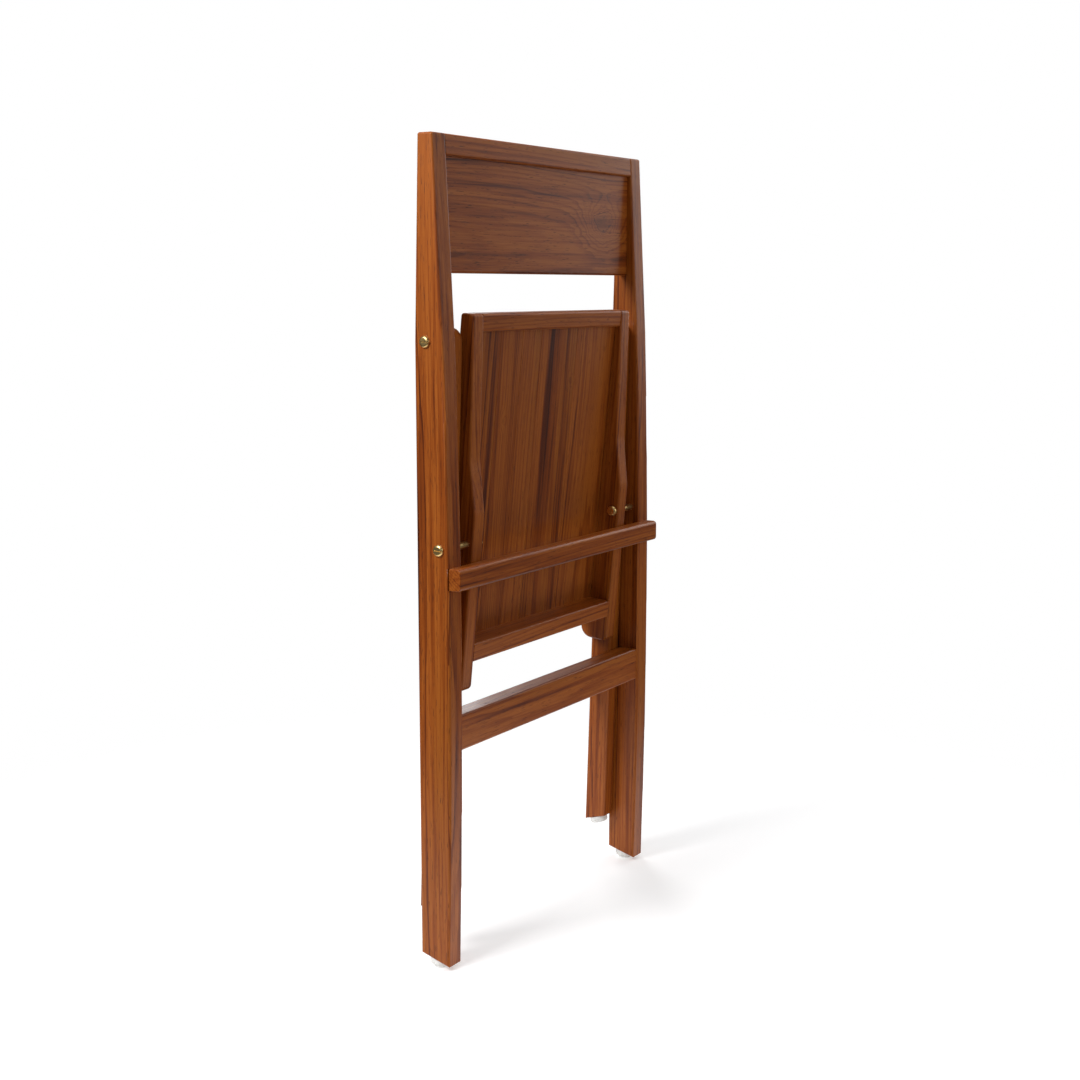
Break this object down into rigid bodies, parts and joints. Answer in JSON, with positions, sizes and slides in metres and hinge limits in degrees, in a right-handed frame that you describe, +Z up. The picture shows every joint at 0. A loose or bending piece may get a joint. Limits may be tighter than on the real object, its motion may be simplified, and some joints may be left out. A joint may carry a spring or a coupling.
{
  "type": "folding chair",
  "caption": "Slim wooden folding chair, folded flat and upright: tapered stiles, a low panel back, a boarded seat on side rails, and hinged rear legs guided by pins in grooves.",
  "frame": {"origin": "on the floor, under the middle of the folded chair's width and depth", "axes": "+Z up; the sitter faces -Y; +X to the sitter's left, across the chair"},
  "size_m": [0.4472, 0.0766, 0.9048],
  "materials": {
    "frame_wood": "satin lacquer",
    "board_wood": "satin lacquer",
    "dowel_wood": "bare",
    "bolt_brass": "satin",
    "pin_steel": "satin",
    "glide_nylon": "matte"
  },
  "bodies": {
    "long_frame": {"left_stile": "frame_wood", "right_stile": "frame_wood", "top_rail": "frame_wood", "back_panel": "board_wood", "front_stretcher": "frame_wood", "seat_stop_batten": "frame_wood", "batten_dowels": "dowel_wood", "top_rail_dowels": "dowel_wood", "front_stretcher_dowels": "dowel_wood", "front_glides": "glide_nylon", "front_glide_nails": "pin_steel", "rear_leg_bolts": "bolt_brass", "rear_leg_barrel_nuts": "bolt_brass", "rear_leg_washers": "bolt_brass", "seat_bolts": "bolt_brass", "seat_barrel_nuts": "bolt_brass"},
    "rear_legs": {"left_rear_leg": "frame_wood", "right_rear_leg": "frame_wood", "rear_stretcher": "frame_wood", "rear_stretcher_dowels": "dowel_wood", "rear_glides": "glide_nylon", "rear_glide_nails": "pin_steel"},
    "seat": {"left_seat_rail": "frame_wood", "right_seat_rail": "frame_wood", "seat_front_rail": "frame_wood", "seat_rear_rail": "frame_wood", "seat_board_1": "board_wood", "seat_board_2": "board_wood", "seat_board_3": "board_wood", "seat_board_4": "board_wood", "seat_board_5": "board_wood", "seat_front_dowels": "dowel_wood", "seat_rear_dowels": "dowel_wood", "guide_pins": "pin_steel"}
  },
  "joints": [
    {"name": "seat_fold", "type": "hinge", "parent": "long_frame", "child": "seat", "pos_m": [0, -0.01232, 0.47083], "axis": [1, 0, 0], "range_deg": [0, 107]},
    {"name": "leg_swing", "type": "hinge", "parent": "long_frame", "child": "rear_legs", "pos_m": [0, 0.00278, 0.69083], "axis": [1, 0, 0], "range_deg": [0, 38.52]}
  ],
  "couplings": [
    {"joint": "leg_swing", "follows": "seat_fold", "ratio": 0.36}
  ]
}
